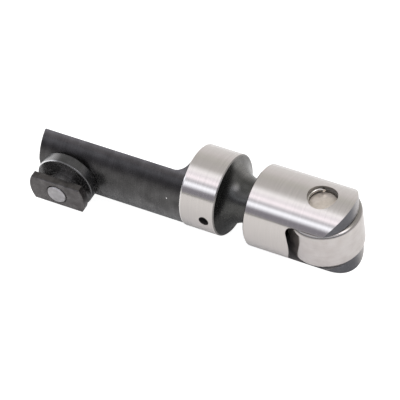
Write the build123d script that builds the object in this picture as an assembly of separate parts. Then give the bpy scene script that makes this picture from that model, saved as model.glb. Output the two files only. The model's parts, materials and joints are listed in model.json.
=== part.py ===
from build123d import *
import math
import os

# A solid roller lifter for a pushrod engine, lying on its side as it rests on a bench.
# Everything is modelled on the lifter's own axes and turned to that resting place at the end:
# +X runs from the tower to the roller, Y is the axle, +Z is the side that the guide button is on,
# and the origin is the middle of the axle. Millimetres throughout.

# The turned body, from the roller end towards the tower end
body_radius = 10.69
lower_land_height = 17.85
waist_length = 8.15
neck_radius = 5.7
bell_radius = 6.0
waist_root_radius = 2.8
upper_land_length = 9.9
land_edge = 0.3

# The half-moon tower that carries the guide button, relieved so that it never rubs in the bore
tower_length = 40.8
tower_relief = 0.29
tower_edge = 0.3
tower_inner_plane = 4.95
tower_root_radius = 3.3

# The forked end, with its crowned ears and the slot that the roller turns in
crown_margin = 0.2
roof_gap = 0.4
slot_cutter_radius = 14.2
slot_corner_radius = 2.0
side_gap = 0.2

# The roller on its full set of needles; it lies inside the body's round and stands past the ears
roller_inset = 1.165
roller_reach = 1.025
roller_width = 11.6
roller_wall = 4.0175
roller_edge = 1.35
roller_bore_chamfer = 0.3
needle_diameter = 1.5875
needle_end_gap = 0.3
needle_end_chamfer = 0.15
rolling_gap = 0.03

# The axle, held by a wire clip in a groove at each end of its hole
axle_end_gap = 0.5
axle_chamfer = 0.3
axle_hole_gap = 0.03
clip_wire = 0.9
clip_depth = 1.69
clip_arc_angle = 250.0
clip_curl_from_angle = 135.0
clip_curl_radius = 1.3
clip_curl_angle = 75.0
clip_groove_gap = 0.03

# The hardened cup for the pushrod's ball end, and the oil ways
cup_radius = 4.79
cup_height = 4.1
cup_ball_radius = 3.97
cup_ball_lift = 0.7
cup_oil_radius = 0.75
cup_edge = 0.25
cup_fit_gap = 0.01
cup_sink = 0.15
oil_hole_radius = 1.36
oil_hole_offset = 2.85
gallery_radius = 1.2

# The guide button, a turned spool for the link bar, and the rivet that holds it to the tower
button_from_tower_end = 8.85
seat_depth = 0.65
seat_margin = 1.4
disc_radius = 7.8
disc_thickness = 3.0
disc_edge = 0.3
groove_width = 2.2
head_radius = 7.95
head_thickness = 1.95
head_half_flat = 3.94
head_edge = 0.2
rivet_radius = 2.6
rivet_gap = 0.02
rivet_proud = 0.32
rivet_edge = 0.2
rivet_mouth = 0.3
tail_radius = 3.75

# How much of the wall beside it a fillet may take up
fillet_share = 0.96

# Stations along the lifter, worked out from the sizes above
waist_bottom_x = -lower_land_height
waist_top_x = waist_bottom_x - waist_length
land_top_x = waist_top_x - upper_land_length
tower_end_x = land_top_x - tower_length
tower_radius = body_radius - tower_relief
button_x = tower_end_x + button_from_tower_end
oil_hole_x = waist_top_x - oil_hole_offset
roller_radius = body_radius - roller_inset
ear_tip = roller_radius - roller_reach
crown_radius = body_radius + crown_margin
roof_x = -(roller_radius + roof_gap)
slot_half = roller_width / 2 + side_gap
needle_radius = needle_diameter / 2
needle_length = roller_width - 2 * needle_end_gap
roller_bore_radius = roller_radius - roller_wall
pitch_radius = roller_bore_radius - rolling_gap - needle_radius
needle_count = int(math.pi / math.asin(needle_radius / pitch_radius))
axle_radius = pitch_radius - needle_radius - rolling_gap
axle_hole_radius = axle_radius + axle_hole_gap
clip_offset = body_radius - clip_depth
axle_length = 2 * (clip_offset - clip_wire / 2 - axle_end_gap)
button_seat = tower_radius - seat_depth
disc_front = button_seat + disc_thickness
head_back = disc_front + groove_width
head_front = head_back + head_thickness
seat_half_length = disc_radius + seat_margin
cup_mouth_x = land_top_x + cup_sink
cup_floor_x = cup_mouth_x + cup_height
beyond = 2 * body_radius


def rod_x(x_from, x_to, radius):
    """A round bar on the lifter's axis."""
    bar = Cylinder(radius, x_to - x_from, align=(Align.CENTER, Align.CENTER, Align.MIN))
    return Plane.YZ.offset(x_from) * bar


def rod_y(x, length, radius):
    """A round bar along the axle's direction, centred on the lifter's middle plane."""
    return Pos(x, 0, 0) * (Plane.ZX * Cylinder(radius, length))


def rod_z(x, z_from, z_to, radius):
    """A round bar along the guide button's direction."""
    bar = Cylinder(radius, z_to - z_from, align=(Align.CENTER, Align.CENTER, Align.MIN))
    return Pos(x, 0, z_from) * bar


def limited(wanted, *walls):
    """A fillet's radius, kept within the walls that it runs along."""
    return min(wanted, fillet_share * min(walls))


def turned_blank():
    """The body as it leaves the lathe: tower stock, upper land, necked waist and lower land."""
    wall = body_radius - land_edge - neck_radius
    bell = max(limited(bell_radius, waist_length), wall)
    bell_run = math.sqrt(bell**2 - (bell - wall)**2)
    bell_start = 180 + math.degrees(math.asin(1 - wall / bell))
    root = limited(waist_root_radius, wall, waist_length - bell_run)
    nose_x = ear_tip + land_edge
    upper = Polyline(
        (tower_end_x, 0),
        (tower_end_x, tower_radius - tower_edge),
        (tower_end_x + tower_edge, tower_radius),
        (land_top_x, tower_radius),
        (land_top_x, body_radius - land_edge),
        (land_top_x + land_edge, body_radius),
        (waist_top_x - land_edge, body_radius),
        (waist_top_x, body_radius - land_edge),
    )
    bell_centre = (waist_top_x + bell_run, neck_radius + bell)
    bell_arc = CenterArc(bell_centre, bell, bell_start, 270 - bell_start)
    neck = Line((waist_top_x + bell_run, neck_radius), (waist_bottom_x - root, neck_radius))
    root_arc = CenterArc((waist_bottom_x - root, neck_radius + root), root, 270, 90)
    lower = Polyline(
        (waist_bottom_x, neck_radius + root),
        (waist_bottom_x, body_radius - land_edge),
        (waist_bottom_x + land_edge, body_radius),
        (nose_x, body_radius),
        (nose_x, 0),
        (tower_end_x, 0),
    )
    return revolve(make_face([upper, bell_arc, neck, root_arc, lower]), Axis.X)


def crown_cut():
    """What is milled off the end so that both ears finish in one round crown."""
    centre_x = ear_tip - crown_radius
    stock = Pos(centre_x + beyond / 2, 0, 0) * Box(beyond, 2 * beyond, 2 * beyond)
    return stock - rod_y(centre_x, 3 * beyond, crown_radius)


def roller_slot():
    """The path of the round cutter that opens the fork and leaves an arched roof."""
    cutter = rod_y(roof_x + slot_cutter_radius, 2 * slot_half, slot_cutter_radius)
    corner = limited(slot_corner_radius, slot_half)
    return fillet(cutter.edges().filter_by(GeomType.CIRCLE), corner)


def axle_hole():
    """The cross hole through both ears, with a round groove for the wire clip near each mouth."""
    hole = rod_y(0, 2 * beyond, axle_hole_radius)
    groove = Torus(axle_hole_radius, clip_wire / 2 + clip_groove_gap)
    for side in (-1, 1):
        hole += Pos(0, side * clip_offset, 0) * (Rot(90, 0, 0) * groove)
    return hole


def tower_cut():
    """The half that is milled away beside the tower, with a large radius at its root."""
    depth = tower_inner_plane + beyond
    length = tower_length + land_edge
    block = Box(length, 2 * beyond, depth, align=(Align.MAX, Align.CENTER, Align.MAX))
    block = Pos(land_top_x, 0, tower_inner_plane) * block
    corner = block.edges().filter_by(Axis.Y).sort_by(lambda edge: edge.center().X + edge.center().Z)
    return fillet(corner[-1], tower_root_radius)


def cup_bore():
    """The blind bore for the pushrod cup; above the land it also clears the tower's root."""
    return rod_x(land_top_x - tower_root_radius, cup_floor_x, cup_radius + cup_fit_gap)


def oil_ways():
    """The feed hole in the upper land and the gallery from the cup down to the needles."""
    feed = rod_z(oil_hole_x, 0, beyond, oil_hole_radius)
    gallery = rod_x(cup_floor_x - cup_edge, roof_x + cup_edge, gallery_radius)
    return feed + gallery


def button_seat_cuts():
    """The flat milled across the tower for the button, and the rivet's hole with its countersink."""
    seat = Box(
        2 * seat_half_length,
        2 * beyond,
        beyond,
        align=(Align.CENTER, Align.CENTER, Align.MIN),
    )
    hole = rod_z(button_x, 0, beyond, rivet_radius + rivet_gap)
    sink_depth = tail_radius - rivet_radius
    sink = Cone(
        tail_radius + rivet_gap,
        rivet_radius + rivet_gap,
        sink_depth,
        align=(Align.CENTER, Align.CENTER, Align.MIN),
    )
    return Pos(button_x, 0, button_seat) * seat + hole + Pos(button_x, 0, tower_inner_plane) * sink


def make_body():
    body = turned_blank() - crown_cut() - roller_slot() - axle_hole()
    return body - tower_cut() - cup_bore() - oil_ways() - button_seat_cuts()


def make_roller():
    """The hardened roller: a thick ring with well rounded rims and a plain bore for the needles."""
    ring = rod_y(0, roller_width, roller_radius)
    rim = limited(roller_edge, roller_wall - roller_bore_chamfer, roller_width / 2)
    ring = fillet(ring.edges().filter_by(GeomType.CIRCLE), rim)
    ring -= rod_y(0, 2 * roller_width, roller_bore_radius)
    mouths = [edge for edge in ring.edges().filter_by(GeomType.CIRCLE)
              if abs(edge.radius - roller_bore_radius) < roller_bore_chamfer]
    return chamfer(mouths, roller_bore_chamfer)


def make_axle():
    pin = rod_y(0, axle_length, axle_radius)
    return chamfer(pin.edges().filter_by(GeomType.CIRCLE), axle_chamfer)


def make_needle(index):
    """One of the loose needles, in its place between the axle and the roller."""
    needle = rod_y(pitch_radius, needle_length, needle_radius)
    needle = chamfer(needle.edges().filter_by(GeomType.CIRCLE), needle_end_chamfer)
    return Rot(0, 360 * index / needle_count, 0) * needle


def make_clip(side):
    """A round-wire clip that springs into its groove, with one end curled in for picking it out."""
    ring = CenterArc((0, 0), axle_hole_radius, clip_curl_from_angle, clip_arc_angle)
    curl = JernArc(ring @ 0, (ring % 0) * -1, clip_curl_radius, -clip_curl_angle)
    path = curl + ring
    section = Plane(origin=ring @ 1, z_dir=ring % 1) * Circle(clip_wire / 2)
    clip = Pos(0, clip_offset, 0) * (Rot(-90, 0, 0) * sweep(section, path))
    return clip if side > 0 else Rot(180, 0, 0) * clip


def make_cup():
    """The pressed-in pushrod cup, with a ball socket and an oil hole through its floor."""
    ball_x = cup_mouth_x - cup_ball_lift
    mouth = math.sqrt(cup_ball_radius**2 - cup_ball_lift**2)
    floor = math.sqrt(cup_ball_radius**2 - cup_oil_radius**2)
    outline = Polyline(
        (ball_x + floor, cup_oil_radius),
        (cup_floor_x, cup_oil_radius),
        (cup_floor_x, cup_radius - cup_edge),
        (cup_floor_x - cup_edge, cup_radius),
        (cup_mouth_x + cup_edge, cup_radius),
        (cup_mouth_x, cup_radius - cup_edge),
        (cup_mouth_x, mouth),
    )
    socket = RadiusArc((cup_mouth_x, mouth), (ball_x + floor, cup_oil_radius), cup_ball_radius)
    return revolve(make_face([outline, socket]), Axis.X)


def make_button():
    """The spool: a round base disc, a neck for the link bar, and a head with two flats."""
    disc = rod_z(button_x, button_seat, disc_front, disc_radius)
    disc = fillet(disc.edges().filter_by(GeomType.CIRCLE), disc_edge)
    neck = rod_z(button_x, disc_front - disc_edge, head_back + head_edge, head_half_flat)
    head = rod_z(button_x, head_back, head_front, head_radius)
    flats = Pos(button_x, 0, head_back) * Box(
        2 * head_radius,
        2 * head_half_flat,
        head_thickness,
        align=(Align.CENTER, Align.CENTER, Align.MIN),
    )
    head = chamfer((head & flats).edges().group_by(Axis.Z)[-1], head_edge)
    mouth = Cone(
        rivet_radius + rivet_gap,
        rivet_radius + rivet_gap + rivet_mouth,
        rivet_mouth,
        align=(Align.CENTER, Align.CENTER, Align.MAX),
    )
    hole = rod_z(button_x, 0, beyond, rivet_radius + rivet_gap) + Pos(button_x, 0, head_front) * mouth
    return disc + neck + head - hole


def make_rivet():
    """The solid rivet: its tail is spread into the tower's countersink, its end stands proud."""
    shank = rod_z(button_x, tower_inner_plane, head_front + rivet_proud, rivet_radius)
    shank = chamfer(shank.edges().filter_by(GeomType.CIRCLE).group_by(Axis.Z)[-1], rivet_edge)
    tail = Cone(
        tail_radius,
        rivet_radius,
        tail_radius - rivet_radius,
        align=(Align.CENTER, Align.CENTER, Align.MIN),
    )
    return shank + Pos(button_x, 0, tower_inner_plane) * tail


def roll_until_touching(side, reach, round_edge):
    """How far the lifter rolls before an edge at this side and reach meets the bench."""
    inner_side = side - round_edge
    inner_reach = reach - round_edge
    lift = (body_radius - round_edge) / math.hypot(inner_side, inner_reach)
    return math.asin(lift) - math.atan2(inner_side, inner_reach)


def resting_roll():
    """It lies on its two lands and on whichever part of the button meets the bench first."""
    base = roll_until_touching(disc_radius, disc_front, disc_edge)
    head = roll_until_touching(head_half_flat, head_front - head_edge, 0)
    return math.degrees(min(base, head))


pieces = {
    "lifter_body": make_body(),
    "roller": make_roller(),
    "axle_pin": make_axle(),
    "axle_clip_front": make_clip(1),
    "axle_clip_back": make_clip(-1),
    "pushrod_cup": make_cup(),
    "guide_button": make_button(),
    "button_rivet": make_rivet(),
}
for index in range(needle_count):
    pieces[f"needle_{index + 1:02d}"] = make_needle(index)

# Roll the lifter to its resting place, stand it on the bench and centre its footprint
laid_down = Pos(0, 0, body_radius) * Rot(90 + resting_roll(), 0, 0)
placed = {name: laid_down * piece for name, piece in pieces.items()}
extent = Compound([piece.solid() for piece in placed.values()]).bounding_box()
centred = Pos(-extent.center().X, -extent.center().Y, 0)

os.makedirs("parts", exist_ok=True)
for name, piece in placed.items():
    export_step(centred * piece, f"parts/{name}.step")

print(f"resting roll {resting_roll():.4f} degrees")
print(f"axle centre x {-extent.center().X:.4f} y {-extent.center().Y:.4f} z {body_radius:.4f}")
print(f"size {extent.size.X:.3f} x {extent.size.Y:.3f} x {extent.size.Z:.3f}")
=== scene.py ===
import bpy
import json
import math
from mathutils import Matrix, Vector

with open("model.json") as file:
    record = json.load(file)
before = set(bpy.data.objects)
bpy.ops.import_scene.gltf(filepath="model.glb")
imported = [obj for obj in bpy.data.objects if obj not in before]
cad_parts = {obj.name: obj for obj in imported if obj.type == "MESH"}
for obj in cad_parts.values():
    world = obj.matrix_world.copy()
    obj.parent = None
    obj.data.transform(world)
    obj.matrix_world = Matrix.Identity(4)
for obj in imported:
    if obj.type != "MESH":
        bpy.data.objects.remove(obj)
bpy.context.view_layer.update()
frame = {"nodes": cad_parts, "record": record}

# The camera stands in front of the lifter's button side and looks down on it through a long lens,
# as a catalogue picture is taken. It is tipped by less than a degree.
camera_place = Vector((0.30732, -0.57136, 0.45529))
camera_aim = Vector((0.00135, -0.00273, 0.01072))
camera_tip = math.radians(0.894)
camera = bpy.data.objects.new("camera", bpy.data.cameras.new("camera"))
bpy.context.scene.collection.objects.link(camera)
camera.data.sensor_width = 36
camera.data.lens = 282.2
camera.data.clip_start = 0.05
camera.data.clip_end = 20
facing = (camera_aim - camera_place).to_track_quat("-Z", "Y").to_matrix()
facing = facing @ Matrix.Rotation(camera_tip, 3, "Z")
camera.matrix_world = Matrix.Translation(camera_place) @ facing.to_4x4()
bpy.context.scene.camera = camera
bpy.context.scene.view_settings.view_transform = "Standard"


# The studio is a white cloth tent. Two long strip lights shine through its front wall, one over
# the other, with a dark band between them and the table. A softbox hangs over the roller's end.
# The back wall and the roof are plain cloth, and the camera itself sees plain white.
def linear(text):
    parts = [int(text[i:i + 2], 16) / 255 for i in (1, 3, 5)]
    return tuple(c / 12.92 if c <= 0.04045 else ((c + 0.055) / 1.055) ** 2.4 for c in parts) + (1.0,)


def add(tree, kind, links=None, stops=None, **settings):
    node = tree.nodes.new(kind)
    for name, value in settings.items():
        setattr(node, name, value)
    for name, value in (links or {}).items():
        if isinstance(value, bpy.types.NodeSocket):
            tree.links.new(value, node.inputs[name])
        else:
            node.inputs[name].default_value = value
    for index, (place, color) in enumerate(stops or []):
        elements = node.color_ramp.elements
        element = elements[index] if index < 2 else elements.new(place)
        element.position = place
        element.color = linear(color)
    return node


# Each wall runs from the table's height, 0, to straight overhead, 1. The strips are a little cool,
# and the parts of the front wall melt into each other, as lights behind cloth do.
table_edge = "#939492"
dark_band = "#73727a"
lower_strip = "#f0f5ff"
seam = "#acadb4"
upper_strip = "#ece8f0"
fold = "#d5d3da"
lit_cloth = "#e0e0e4"
dim_cloth = "#b4b4b5"
roof = "#d0d0d0"
front_wall = [(0.000, table_edge), (0.085, dark_band), (0.175, dark_band), (0.315, lower_strip),
              (0.405, seam), (0.510, upper_strip), (0.595, fold), (0.670, lit_cloth),
              (0.755, dim_cloth), (1.000, roof)]
back_wall = [(0.000, "#bdbdbd"), (0.380, "#b6b4b5"), (0.615, "#a2a29f"), (0.750, "#a1a0a0"), (1.000, roof)]
back_wall_ends = 0.02
front_wall_starts = -0.20
tent_brightness = 1.9
softbox_brightness = 7.0
softbox_way = Vector((0.64, -0.15, 0.75)).normalized()
softbox_edge = math.cos(math.radians(19.5))
softbox_middle = math.cos(math.radians(6.9))
world = bpy.data.worlds.new("white_tent")
bpy.context.scene.world = world
world.use_nodes = True
tree = world.node_tree
tree.nodes.clear()
way_out = add(tree, "ShaderNodeTexCoord").outputs["Generated"]
way = add(tree, "ShaderNodeSeparateXYZ", {0: way_out}).outputs
lift = add(tree, "ShaderNodeMath", {0: way["Z"]}, operation="ARCSINE").outputs[0]
lift = add(tree, "ShaderNodeMath", {0: lift, 1: math.pi / 2}, operation="DIVIDE").outputs[0]
front = add(tree, "ShaderNodeValToRGB", {"Fac": lift}, front_wall)
front.color_ramp.interpolation = "EASE"
back = add(tree, "ShaderNodeValToRGB", {"Fac": lift}, back_wall)
to_front = add(tree, "ShaderNodeMapRange", {"Value": way["Y"], "From Min": back_wall_ends,
                                            "From Max": front_wall_starts},
               interpolation_type="SMOOTHSTEP").outputs[0]
tent = add(tree, "ShaderNodeMix", {0: to_front, 6: back.outputs[0], 7: front.outputs[0]},
           data_type="RGBA").outputs[2]
softbox = add(tree, "ShaderNodeVectorMath", {0: way_out, 1: softbox_way},
              operation="DOT_PRODUCT").outputs["Value"]
softbox = add(tree, "ShaderNodeMapRange", {"Value": softbox, "From Min": softbox_edge, "From Max": softbox_middle,
                                           "To Min": tent_brightness, "To Max": softbox_brightness},
              interpolation_type="SMOOTHSTEP").outputs[0]
glow = add(tree, "ShaderNodeBackground", {"Color": tent, "Strength": softbox})
white = add(tree, "ShaderNodeBackground", {"Color": (1, 1, 1, 1), "Strength": 1.0})
seen = add(tree, "ShaderNodeLightPath").outputs["Is Camera Ray"]
both = add(tree, "ShaderNodeMixShader", {0: seen, 1: glow.outputs[0], 2: white.outputs[0]})
add(tree, "ShaderNodeOutputWorld", {"Surface": both.outputs[0]})

# The table top is matt white board. To the camera and in the metal it is lit through from below,
# so that it prints white and keeps only the soft shadow close under the lifter.
board_half = 3.0
board_corners = [(x, y, 0) for x, y in ((-board_half, -board_half), (board_half, -board_half),
                                        (board_half, board_half), (-board_half, board_half))]
lit_through = 1.8
share_to_camera = 0.52
share_in_metal = 0.04
table = bpy.data.objects.new("table_top", bpy.data.meshes.new("table_top"))
table.data.from_pydata(board_corners, [], [(0, 1, 2, 3)])
bpy.context.scene.collection.objects.link(table)
board = bpy.data.materials.new("matt_white_board")
board.use_nodes = True
tree = board.node_tree
tree.nodes.clear()
rays = add(tree, "ShaderNodeLightPath").outputs
mirrored = add(tree, "ShaderNodeMath", {0: rays["Is Glossy Ray"], 1: rays["Is Transmission Ray"]},
               operation="MAXIMUM").outputs[0]
mirrored = add(tree, "ShaderNodeMath", {0: mirrored, 1: share_in_metal}, operation="MULTIPLY").outputs[0]
share = add(tree, "ShaderNodeMath", {0: rays["Is Camera Ray"], 1: share_to_camera, 2: mirrored},
            operation="MULTIPLY_ADD").outputs[0]
paper = add(tree, "ShaderNodeBsdfDiffuse", {"Color": linear("#f2f2ef")})
through = add(tree, "ShaderNodeEmission", {"Color": (1, 1, 1, 1), "Strength": lit_through})
both = add(tree, "ShaderNodeMixShader", {0: share, 1: paper.outputs[0], 2: through.outputs[0]})
add(tree, "ShaderNodeOutputMaterial", {"Surface": both.outputs[0]})
table.data.materials.append(board)

# The body is one piece of hardened alloy steel, turned and milled from the bar, blacked all over
# and then ground bright on its two lands. The tools have marked it all round: turning lines under
# the black, finer grinding lines on the lands, and a bright edge where each land ends.
MM = 0.001
beyond = 1.0
mount = {entry["name"]: entry for entry in frame["record"]["mounts"]}
hinge = {entry["name"]: entry for entry in frame["record"]["behaviour"]["joints"]}
land_radius = mount["upper_land"]["dims"]["r_mm"] * MM
axis_point = (0.0, mount["upper_land"]["pos_m"][1], mount["upper_land"]["pos_m"][2])
axis_way = (1, 0, 0)
axle_point = (hinge["roller_spin"]["pos_m"][0], axis_point[1], axis_point[2])
axle_way = tuple(hinge["roller_spin"]["axis"])
button_way = tuple(mount["link_bar_groove"]["axis"])
upper_land_start = mount["upper_land"]["pos_m"][0] - mount["upper_land"]["dims"]["length_mm"] / 2 * MM
upper_land_end = mount["upper_land"]["pos_m"][0] + mount["upper_land"]["dims"]["length_mm"] / 2 * MM
lower_land_start = mount["lower_land"]["pos_m"][0] - mount["lower_land"]["dims"]["length_mm"] / 2 * MM
crown_point = (axle_point[0] - 2.39 * MM, axis_point[1], axis_point[2])
crown_radius = 10.89 * MM
axle_hole_radius = 3.89 * MM
oil_hole_x = 4.7375 * MM
nick_point = (-5.85 * MM, -7.1 * MM, 11.4 * MM)


def start(name):
    material = bpy.data.materials.new(name)
    material.use_nodes = True
    material.node_tree.nodes.clear()
    tree = material.node_tree
    return material, tree, add(tree, "ShaderNodeTexCoord").outputs["Object"]


def dress(names, material, surface):
    add(material.node_tree, "ShaderNodeOutputMaterial", {"Surface": surface.outputs[0]})
    for name in names:
        mesh = frame["nodes"][name].data
        mesh.materials.clear()
        mesh.materials.append(material)


def tool_lines(tree, place, axis, spacing, length):
    """Lines that a turning or grinding tool leaves round an axis, as a noise drawn out along them."""
    along = add(tree, "ShaderNodeVectorMath", {0: place, 1: axis}, operation="DOT_PRODUCT").outputs["Value"]
    along = add(tree, "ShaderNodeMath", {0: along, 1: 1 / spacing - 1 / length}, operation="MULTIPLY").outputs[0]
    push = add(tree, "ShaderNodeVectorMath", {0: axis, "Scale": along}, operation="SCALE").outputs[0]
    drawn = add(tree, "ShaderNodeVectorMath", {0: place, 1: (1 / length,) * 3}, operation="MULTIPLY").outputs[0]
    drawn = add(tree, "ShaderNodeVectorMath", {0: drawn, 1: push}, operation="ADD").outputs[0]
    return add(tree, "ShaderNodeTexNoise", {"Vector": drawn, "Scale": 1.0, "Detail": 3.0}).outputs[0]


def off_line(tree, place, point, way):
    """How far a spot lies from the straight line through the point."""
    gap = add(tree, "ShaderNodeVectorMath", {0: place, 1: point}, operation="SUBTRACT").outputs[0]
    gap = add(tree, "ShaderNodeVectorMath", {0: gap, 1: way}, operation="CROSS_PRODUCT").outputs[0]
    return add(tree, "ShaderNodeVectorMath", {0: gap}, operation="LENGTH").outputs["Value"]


def band(tree, value, low, high, soft):
    """One between two limits, nought outside them, with soft sides. With beyond as a limit, that
    side is open, since no spot of the lifter lies so far away."""
    rise = add(tree, "ShaderNodeMapRange", {"Value": value, "From Min": low - soft, "From Max": low + soft})
    fall = add(tree, "ShaderNodeMapRange", {"Value": value, "From Min": high + soft, "From Max": high - soft})
    return add(tree, "ShaderNodeMath", {0: rise.outputs[0], 1: fall.outputs[0]}, operation="MULTIPLY").outputs[0]


# Black oxide over turned steel gives a deep grey that still mirrors softly, and the ground lands
# mirror the studio sharply across their lines
material, tree, place = start("black_oxide_on_turned_steel_with_ground_lands")
from_axis = add(tree, "ShaderNodeVectorMath", {0: place, 1: axis_point}, operation="SUBTRACT").outputs[0]
parts = add(tree, "ShaderNodeSeparateXYZ", {0: from_axis}).outputs
x, height = parts["X"], parts["Z"]
radius = off_line(tree, place, axis_point, axis_way)
to_button = add(tree, "ShaderNodeVectorMath", {0: from_axis, 1: button_way},
                operation="DOT_PRODUCT").outputs["Value"]

# The ground lands, with the chamfers at their ends. The upper land's chamfer at the tower and the
# lower land's at the waist are bright too, and the one at the bell has only lost part of its black.
skin = 0.025 * MM
chamfer_depth = 0.285 * MM
chamfer_length = 0.31 * MM
overlap = 0.01 * MM
sharp = 0.002 * MM
outer = band(tree, radius, land_radius - skin, beyond, sharp)
edge_depth = band(tree, radius, land_radius - chamfer_depth, land_radius - skin, sharp)
tower_side = band(tree, x, upper_land_start - chamfer_length, upper_land_start + overlap, sharp)
fork_side = band(tree, x, lower_land_start - chamfer_length, lower_land_start + overlap, sharp)
bell_side = band(tree, x, upper_land_end - overlap, upper_land_end + chamfer_length, sharp)
bell_edge = add(tree, "ShaderNodeMath", {0: edge_depth, 1: bell_side}, operation="MULTIPLY").outputs[0]
ends = add(tree, "ShaderNodeMath", {0: tower_side, 1: fork_side}, operation="MAXIMUM").outputs[0]
bright_edge = add(tree, "ShaderNodeMath", {0: edge_depth, 1: ends}, operation="MULTIPLY").outputs[0]
ground = add(tree, "ShaderNodeMath", {0: outer, 1: bright_edge}, operation="MAXIMUM").outputs[0]

# The crowned ends of the ears
crown_skin = 0.03 * MM
crown_start = axle_point[0] + 2.0 * MM
from_crown = off_line(tree, place, crown_point, axle_way)
crown = band(tree, from_crown, crown_radius - crown_skin, crown_radius + crown_skin, 0.01 * MM)
forward = band(tree, x, crown_start, beyond, 0.1 * MM)
crown = add(tree, "ShaderNodeMath", {0: crown, 1: forward}, operation="MULTIPLY").outputs[0]

# The walls of the slot behind the roller, of the oil hole and of the axle's reamed hole
slot_start = lower_land_start + 3.0 * MM
oil_reach = 1.7 * MM
reamed_reach = axle_hole_radius + 0.5 * MM
in_fork = band(tree, x, slot_start, beyond, 0.5 * MM)
in_oil = band(tree, x, oil_hole_x - oil_reach, oil_hole_x + oil_reach, 0.05 * MM)
sunk = band(tree, radius, -beyond, land_radius - 0.1 * MM, 0.05 * MM)
inside = add(tree, "ShaderNodeMath", {0: in_fork, 1: in_oil}, operation="MAXIMUM").outputs[0]
inside = add(tree, "ShaderNodeMath", {0: inside, 1: sunk}, operation="MULTIPLY").outputs[0]
from_axle = off_line(tree, place, axle_point, axle_way)
reamed = band(tree, from_axle, -beyond, reamed_reach, 0.03 * MM)
reamed = add(tree, "ShaderNodeMath", {0: reamed, 1: sunk}, operation="MULTIPLY").outputs[0]

# Lines of the tools, and the unevenness of the black. Real grinding lines are a few hundredths of
# a millimetre apart, and so is the grit of the black. Both are too fine to show, so the lines are
# drawn at a tenth and the grit at about four tenths, and the turning lines a little too coarse.
grinding_spacing = 0.10 * MM
grinding_length = 9 * MM
turning_spacing = 0.22 * MM
turning_length = 14 * MM
turning_contrast = 0.45
cloud_size = 3.3 * MM
grit_size = 0.38 * MM
grinding = tool_lines(tree, place, axis_way, grinding_spacing, grinding_length)
turning = tool_lines(tree, place, axis_way, turning_spacing, turning_length)
cloud = add(tree, "ShaderNodeTexNoise", {"Vector": place, "Scale": 1 / cloud_size, "Detail": 5.0}).outputs[0]
grit = add(tree, "ShaderNodeTexNoise", {"Vector": place, "Scale": 1 / grit_size, "Detail": 2.0}).outputs[0]

# Painted sheen makes the black lighter low on the sides and underneath, and a painted highlight lightens it at
# the tower's inner corner and past it. The waist's black is lighter on its far side.
painted_low_sheen = add(tree, "ShaderNodeMapRange", {"Value": height, "From Min": 4.6 * MM, "From Max": 0.5 * MM},
               interpolation_type="SMOOTHSTEP").outputs[0]
black = add(tree, "ShaderNodeMix", {0: painted_low_sheen, 6: linear("#4b4949"), 7: linear("#605f5e")},
            data_type="RGBA").outputs[2]
painted_under_sheen = add(tree, "ShaderNodeMapRange", {"Value": height, "From Min": 0.0, "From Max": -4.4 * MM},
                 interpolation_type="SMOOTHSTEP").outputs[0]
black = add(tree, "ShaderNodeMix", {0: painted_under_sheen, 6: black, 7: linear("#7a7978")}, data_type="RGBA").outputs[2]
# Painted highlight along the tower's inner corner and the flat past it
painted_corner_highlight = add(tree, "ShaderNodeMapRange", {"Value": to_button, "From Min": 6.3 * MM, "From Max": 4.9 * MM},
             interpolation_type="SMOOTHSTEP").outputs[0]
black = add(tree, "ShaderNodeMix", {0: painted_corner_highlight, 6: black, 7: linear("#6b6a6b")}, data_type="RGBA").outputs[2]
waist = band(tree, x, upper_land_end, lower_land_start, 0.05 * MM)
far_side = add(tree, "ShaderNodeMapRange", {"Value": to_button, "From Min": -0.4 * MM, "From Max": -3.2 * MM},
               interpolation_type="SMOOTHSTEP").outputs[0]
waist_black = add(tree, "ShaderNodeMix", {0: far_side, 6: linear("#545452"), 7: linear("#7d7c79")},
                  data_type="RGBA").outputs[2]
black = add(tree, "ShaderNodeMix", {0: waist, 6: black, 7: waist_black}, data_type="RGBA").outputs[2]
mottle = add(tree, "ShaderNodeValToRGB", {"Fac": cloud}, [(0.35, "#d6d6d6"), (0.65, "#ffffff")]).outputs[0]
black = add(tree, "ShaderNodeMix", {0: 1.0, 6: black, 7: mottle}, data_type="RGBA",
            blend_type="MULTIPLY").outputs[2]
lines = add(tree, "ShaderNodeValToRGB", {"Fac": turning}, [(0.30, "#d0d0d0"), (0.70, "#ffffff")]).outputs[0]
black = add(tree, "ShaderNodeMix", {0: turning_contrast, 6: black, 7: lines}, data_type="RGBA",
            blend_type="MULTIPLY").outputs[2]

# A nick in the tower shows bare steel
nick_radius = 0.16 * MM
nick = add(tree, "ShaderNodeVectorMath", {0: place, 1: nick_point}, operation="DISTANCE").outputs["Value"]
nick = band(tree, nick, -beyond, nick_radius, 0.05 * MM)
black = add(tree, "ShaderNodeMix", {0: nick, 6: black, 7: linear("#f4f2f0")}, data_type="RGBA").outputs[2]

# The slot is grey from the cutter and painted shade darkens the oil hole, the axle's hole is a warm grey, and a
# painted reflection makes the crowns of the ears nearly bright towards the lifter's far side
drilled = add(tree, "ShaderNodeMix", {0: in_oil, 6: linear("#8a8785"), 7: linear("#3c3a39")},
              data_type="RGBA").outputs[2]
black = add(tree, "ShaderNodeMix", {0: inside, 6: black, 7: drilled}, data_type="RGBA").outputs[2]
black = add(tree, "ShaderNodeMix", {0: reamed, 6: black, 7: linear("#716c65")}, data_type="RGBA").outputs[2]
black = add(tree, "ShaderNodeMix", {0: bell_edge, 6: black, 7: linear("#8c8986")}, data_type="RGBA").outputs[2]
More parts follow.
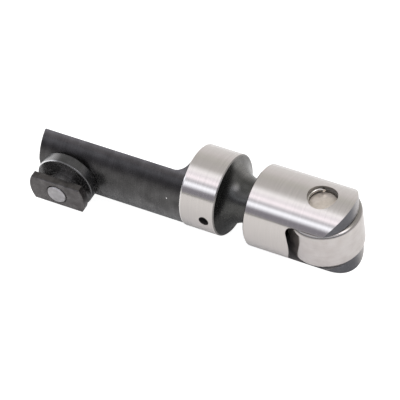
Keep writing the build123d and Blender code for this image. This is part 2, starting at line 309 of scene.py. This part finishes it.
# Painted reflection: the crowns grade from dark to nearly bright away from the button
crown_painted_reflection = add(tree, "ShaderNodeMapRange", {"Value": to_button, "From Min": 2.0 * MM, "From Max": -3.2 * MM},
          interpolation_type="SMOOTHSTEP").outputs[0]
crown_with_painted_reflection = add(tree, "ShaderNodeMix", {0: crown_painted_reflection, 6: linear("#67676b"), 7: linear("#b4b0ae")},
            data_type="RGBA").outputs[2]
crown_with_painted_reflection = add(tree, "ShaderNodeMix", {0: 0.5, 6: crown_with_painted_reflection, 7: mottle}, data_type="RGBA",
            blend_type="MULTIPLY").outputs[2]
black = add(tree, "ShaderNodeMix", {0: crown, 6: black, 7: crown_with_painted_reflection}, data_type="RGBA").outputs[2]

# Along the tower, the land's end is rolled over a little by handling, and a painted highlight lies along it. Past
# the tower's corner, away from the button, it has no such edge.
roll_start = upper_land_start - 0.1 * MM
roll_end = upper_land_start + 0.36 * MM
roll_height = 0.24 * MM
rolled_edge_and_highlight = add(tree, "ShaderNodeMapRange", {"Value": x, "From Min": roll_start, "From Max": roll_end},
             interpolation_type="SMOOTHSTEP").outputs[0]
away = add(tree, "ShaderNodeMapRange", {"Value": to_button, "From Min": 6.5 * MM, "From Max": 5.2 * MM},
           interpolation_type="SMOOTHSTEP").outputs[0]
rolled_edge_and_highlight = add(tree, "ShaderNodeMath", {0: rolled_edge_and_highlight, 1: away}, operation="MAXIMUM").outputs[0]
steel = add(tree, "ShaderNodeValToRGB", {"Fac": grinding}, [(0.30, "#c8c3bf"), (0.70, "#d2cdc9")]).outputs[0]
steel = add(tree, "ShaderNodeMix", {0: bright_edge, 6: steel, 7: linear("#dedad7")},
            data_type="RGBA").outputs[2]
steel = add(tree, "ShaderNodeMix", {0: rolled_edge_and_highlight, 6: linear("#f6f4f2"), 7: steel}, data_type="RGBA").outputs[2]
color = add(tree, "ShaderNodeMix", {0: ground, 6: black, 7: steel}, data_type="RGBA").outputs[2]

# The waist is turned a little finer than the tower, and the slot's black is dull and hardly mirrors
finer_waist = -0.03
black_metallic = 0.92
slot_metallic = 0.15
rough_black = add(tree, "ShaderNodeMapRange", {"Value": grit, "To Min": 0.22, "To Max": 0.36}).outputs[0]
rough_black = add(tree, "ShaderNodeMath", {0: waist, 1: finer_waist, 2: rough_black},
                  operation="MULTIPLY_ADD").outputs[0]
rough_steel = add(tree, "ShaderNodeMapRange", {"Value": grinding, "To Min": 0.09, "To Max": 0.16}).outputs[0]
rough = add(tree, "ShaderNodeMix", {0: ground, 2: rough_black, 3: rough_steel}).outputs[0]
metal = add(tree, "ShaderNodeMix", {0: inside, 2: black_metallic, 3: slot_metallic}).outputs[0]
metal = add(tree, "ShaderNodeMix", {0: ground, 2: metal, 3: 1.0}).outputs[0]
metal = add(tree, "ShaderNodeMath", {0: metal, 1: crown}, operation="MAXIMUM").outputs[0]
edge_bump = add(tree, "ShaderNodeBump", {"Height": rolled_edge_and_highlight, "Strength": 1.0, "Distance": roll_height},
                invert=True).outputs[0]
relief = add(tree, "ShaderNodeMix", {0: ground, 2: turning, 3: grinding}).outputs[0]
bump = add(tree, "ShaderNodeBump", {"Height": relief, "Strength": 0.08, "Distance": 0.01 * MM,
                                    "Normal": edge_bump}).outputs[0]
shader = add(tree, "ShaderNodeBsdfPrincipled",
             {"Base Color": color, "Metallic": metal, "Roughness": rough, "Normal": bump})
dress(["lifter_body"], material, shader)

# The roller is a hardened ring of bearing steel that turns between the ears on its needles. Its
# tread is ground, and its rims are rounded by tumbling.
tread_radius = mount["roller_tread"]["dims"]["r_mm"] * MM
wheel_spacing = 0.16 * MM
wheel_length = 8 * MM
cloud_size = 3.0 * MM
rim_start = tread_radius - 0.12 * MM
tread_roughness = 0.17
rim_roughness = 0.22

# The ground tread mirrors in soft streaks along the wheel's lines, drawn about four times as coarse
# as they are so that they show, and the tumbled rims are a duller grey
material, tree, place = start("ground_bearing_steel")
grinding = tool_lines(tree, place, axle_way, wheel_spacing, wheel_length)
cloud = add(tree, "ShaderNodeTexNoise", {"Vector": place, "Scale": 1 / cloud_size, "Detail": 3.0}).outputs[0]
color = add(tree, "ShaderNodeValToRGB", {"Fac": grinding}, [(0.3, "#cec9c6"), (0.7, "#d6d1ce")]).outputs[0]
mottle = add(tree, "ShaderNodeValToRGB", {"Fac": cloud}, [(0.35, "#f4f2f1"), (0.65, "#ffffff")]).outputs[0]
color = add(tree, "ShaderNodeMix", {0: 1.0, 6: color, 7: mottle}, data_type="RGBA",
            blend_type="MULTIPLY").outputs[2]
from_axle = off_line(tree, place, axle_point, axle_way)
tumbled = band(tree, from_axle, -beyond, rim_start, 0.08 * MM)
color = add(tree, "ShaderNodeMix", {0: tumbled, 6: color, 7: linear("#94908c")}, data_type="RGBA").outputs[2]
rough = add(tree, "ShaderNodeMix", {0: tumbled, 2: tread_roughness, 3: rim_roughness}).outputs[0]
bump = add(tree, "ShaderNodeBump", {"Height": grinding, "Strength": 0.1, "Distance": 0.01 * MM}).outputs[0]
shader = add(tree, "ShaderNodeBsdfPrincipled",
             {"Base Color": color, "Metallic": 1.0, "Roughness": rough, "Normal": bump})
dress(["roller"], material, shader)

# The axle is a pin of hardened steel, pushed through both ears and the roller and held by a clip at
# each end. Its ends are faced and left as they are.
facing_size = 0.67 * MM
stain_size = 2.4 * MM

# The faced ends are matt and a warm, lightly stained grey. The marks of the facing tool are drawn
# a few times as coarse as they are.
material, tree, place = start("faced_axle_steel")
marks = add(tree, "ShaderNodeTexNoise", {"Vector": place, "Scale": 1 / facing_size, "Detail": 4.0}).outputs[0]
stain = add(tree, "ShaderNodeTexNoise", {"Vector": place, "Scale": 1 / stain_size, "Detail": 3.0}).outputs[0]
color = add(tree, "ShaderNodeValToRGB", {"Fac": marks}, [(0.3, "#d8cfc4"), (0.7, "#e8dfd4")]).outputs[0]
stain = add(tree, "ShaderNodeValToRGB", {"Fac": stain}, [(0.3, "#eceae6"), (0.65, "#ffffff")]).outputs[0]
color = add(tree, "ShaderNodeMix", {0: 1.0, 6: color, 7: stain}, data_type="RGBA",
            blend_type="MULTIPLY").outputs[2]
rough = add(tree, "ShaderNodeMapRange", {"Value": marks, "To Min": 0.36, "To Max": 0.52}).outputs[0]
bump = add(tree, "ShaderNodeBump", {"Height": marks, "Strength": 0.25, "Distance": 0.02 * MM}).outputs[0]
shader = add(tree, "ShaderNodeBsdfPrincipled",
             {"Base Color": color, "Metallic": 0.6, "Roughness": rough, "Normal": bump})
dress(["axle_pin"], material, shader)

# The two clips are open rings of round spring wire, each sprung into the groove at its end of the
# axle's hole to keep the axle in.
drawing_size = 0.55 * MM

# Drawn wire is smooth and bright and catches the light as a thin line. The marks of its die are
# drawn many times as coarse as they are.
material, tree, place = start("drawn_spring_wire")
drawing = add(tree, "ShaderNodeTexNoise", {"Vector": place, "Scale": 1 / drawing_size, "Detail": 3.0}).outputs[0]
color = add(tree, "ShaderNodeValToRGB", {"Fac": drawing}, [(0.3, "#aca8a1"), (0.7, "#c2beb7")]).outputs[0]
rough = add(tree, "ShaderNodeMapRange", {"Value": drawing, "To Min": 0.12, "To Max": 0.2}).outputs[0]
shader = add(tree, "ShaderNodeBsdfPrincipled", {"Base Color": color, "Metallic": 1.0, "Roughness": rough})
dress(["axle_clip_front", "axle_clip_back"], material, shader)

# The needles are loose rollers of bearing steel that fill the ring between axle and roller. They
# are ground and then polished.
polish_spacing = 0.1 * MM
polish_length = 3 * MM

# Polish makes them the brightest metal in the lifter. Its lines are drawn at a tenth of a
# millimetre, because the real ones are too fine to show.
material, tree, place = start("polished_needle_steel")
polish = tool_lines(tree, place, axle_way, polish_spacing, polish_length)
color = add(tree, "ShaderNodeValToRGB", {"Fac": polish}, [(0.3, "#c9c7c5"), (0.7, "#d8d6d4")]).outputs[0]
rough = add(tree, "ShaderNodeMapRange", {"Value": polish, "To Min": 0.1, "To Max": 0.18}).outputs[0]
shader = add(tree, "ShaderNodeBsdfPrincipled", {"Base Color": color, "Metallic": 1.0, "Roughness": rough})
dress([name for name in frame["nodes"] if name.startswith("needle_")], material, shader)

# The pushrod's cup is turned from steel, hardened, and pressed into the upper land beside the
# tower, where the ball on the pushrod's end turns in it.
ball_point = (mount["pushrod_socket"]["pos_m"][0], axis_point[1], axis_point[2])
ball_radius = mount["pushrod_socket"]["dims"]["r_mm"] * MM
scale_size = 1.4 * MM
scale_roughness = 0.4
socket_roughness = 0.16

# The furnace leaves it a blotchy dark grey, and its ball socket is polished bright
material, tree, place = start("hardened_cup_steel")
scale = add(tree, "ShaderNodeTexNoise", {"Vector": place, "Scale": 1 / scale_size, "Detail": 4.0}).outputs[0]
from_ball = add(tree, "ShaderNodeVectorMath", {0: place, 1: ball_point}, operation="DISTANCE").outputs["Value"]
socket = band(tree, from_ball, 0.0, ball_radius + 0.06 * MM, 0.02 * MM)
dark = add(tree, "ShaderNodeValToRGB", {"Fac": scale}, [(0.3, "#56565a"), (0.7, "#74747a")]).outputs[0]
color = add(tree, "ShaderNodeMix", {0: socket, 6: dark, 7: linear("#b4b2b0")}, data_type="RGBA").outputs[2]
rough = add(tree, "ShaderNodeMix", {0: socket, 2: scale_roughness, 3: socket_roughness}).outputs[0]
shader = add(tree, "ShaderNodeBsdfPrincipled", {"Base Color": color, "Metallic": 1.0, "Roughness": rough})
dress(["pushrod_cup"], material, shader)

# The guide button is a spool turned from steel and blacked, with two flats milled on its head. Its
# disc lies on the tower's flat, and the link bar slides in the neck between disc and head.
button_point = (mount["link_bar_groove"]["pos_m"][0], axis_point[1], axis_point[2])
disc_radius = 7.8 * MM
head_back = 14.95 * MM
head_thickness = 1.95 * MM
rim_width = 0.26 * MM
highlight_point = (-39.2 * MM, -9.4 * MM, 14.0 * MM)
highlight_reach = 3.2 * MM
highlight_elsewhere = 0.09
extra_highlight_there = 0.85
turning_spacing = 0.3 * MM
turning_length = 9 * MM
turning_contrast = 0.5
cloud_size = 1.9 * MM

# The black is dark on the disc's edge and greyer on the faces, with a brown cast on the head; on the disc's face
# in the neck the grey is painted light against the shade there. Its turning lines are drawn a little too coarse.
# A painted highlight runs along the disc's rim, brightest at the upper side towards the tower's free end.
material, tree, place = start("black_oxide_on_turned_button")
from_button = add(tree, "ShaderNodeVectorMath", {0: place, 1: button_point}, operation="SUBTRACT").outputs[0]
outward = add(tree, "ShaderNodeVectorMath", {0: from_button, 1: button_way},
              operation="DOT_PRODUCT").outputs["Value"]
from_rivet = off_line(tree, place, button_point, button_way)
turning = tool_lines(tree, place, button_way, turning_spacing, turning_length)
cloud = add(tree, "ShaderNodeTexNoise", {"Vector": place, "Scale": 1 / cloud_size, "Detail": 5.0}).outputs[0]
disc_face_painted_light = band(tree, from_rivet, -beyond, disc_radius - 0.3 * MM, 0.05 * MM)
head = band(tree, outward, head_back - 0.05 * MM, beyond, 0.02 * MM)
head_face = band(tree, outward, head_back + head_thickness - 0.1 * MM, beyond, 0.02 * MM)
# Painted light lifts the disc's face and neck, which lie in the shade under the head
black = add(tree, "ShaderNodeMix", {0: disc_face_painted_light, 6: linear("#4d4d4d"), 7: linear("#7c7b7a")},
            data_type="RGBA").outputs[2]
black = add(tree, "ShaderNodeMix", {0: head, 6: black, 7: linear("#5e5b5a")}, data_type="RGBA").outputs[2]
black = add(tree, "ShaderNodeMix", {0: head_face, 6: black, 7: linear("#706d6c")}, data_type="RGBA").outputs[2]
mottle = add(tree, "ShaderNodeValToRGB", {"Fac": cloud}, [(0.32, "#c4c2c1"), (0.70, "#ffffff")]).outputs[0]
black = add(tree, "ShaderNodeMix", {0: 1.0, 6: black, 7: mottle}, data_type="RGBA",
            blend_type="MULTIPLY").outputs[2]
lines = add(tree, "ShaderNodeValToRGB", {"Fac": turning}, [(0.3, "#c8c8c8"), (0.7, "#ffffff")]).outputs[0]
black = add(tree, "ShaderNodeMix", {0: turning_contrast, 6: black, 7: lines}, data_type="RGBA",
            blend_type="MULTIPLY").outputs[2]
rim = band(tree, from_rivet, disc_radius - rim_width, disc_radius - 0.01 * MM, 0.02 * MM)
highlight_spot = add(tree, "ShaderNodeVectorMath", {0: place, 1: highlight_point}, operation="DISTANCE").outputs["Value"]
highlight_spot = band(tree, highlight_spot, -beyond, highlight_reach, 1.2 * MM)
highlight_spot = add(tree, "ShaderNodeMath", {0: highlight_spot, 1: extra_highlight_there, 2: highlight_elsewhere},
             operation="MULTIPLY_ADD").outputs[0]
painted_rim_highlight = add(tree, "ShaderNodeMath", {0: rim, 1: highlight_spot}, operation="MULTIPLY").outputs[0]
painted_rim_highlight = add(tree, "ShaderNodeMix", {0: head, 2: painted_rim_highlight, 3: 0.0}).outputs[0]
color = add(tree, "ShaderNodeMix", {0: painted_rim_highlight, 6: black, 7: linear("#ffffff")}, data_type="RGBA").outputs[2]
rough = add(tree, "ShaderNodeMapRange", {"Value": cloud, "To Min": 0.16, "To Max": 0.34}).outputs[0]
bump = add(tree, "ShaderNodeBump", {"Height": turning, "Strength": 0.15, "Distance": 0.02 * MM}).outputs[0]
shader = add(tree, "ShaderNodeBsdfPrincipled",
             {"Base Color": color, "Metallic": 0.86, "Roughness": rough, "Normal": bump})
dress(["guide_button"], material, shader)

# The rivet is plain mild steel. It goes through the tower and the button and is headed over, and
# its end is turned flat and left unblacked.
swirl_size = 1.1 * MM

# The turned end is a dull light grey with an uneven swirl, drawn as broad as it needs to show
material, tree, place = start("turned_rivet_steel")
swirl = add(tree, "ShaderNodeTexNoise", {"Vector": place, "Scale": 1 / swirl_size, "Detail": 5.0}).outputs[0]
color = add(tree, "ShaderNodeValToRGB", {"Fac": swirl}, [(0.3, "#a09e9e"), (0.7, "#bdbbbc")]).outputs[0]
rough = add(tree, "ShaderNodeMapRange", {"Value": swirl, "To Min": 0.34, "To Max": 0.5}).outputs[0]
bump = add(tree, "ShaderNodeBump", {"Height": swirl, "Strength": 0.2, "Distance": 0.02 * MM}).outputs[0]
shader = add(tree, "ShaderNodeBsdfPrincipled",
             {"Base Color": color, "Metallic": 1.0, "Roughness": rough, "Normal": bump})
dress(["button_rivet"], material, shader)
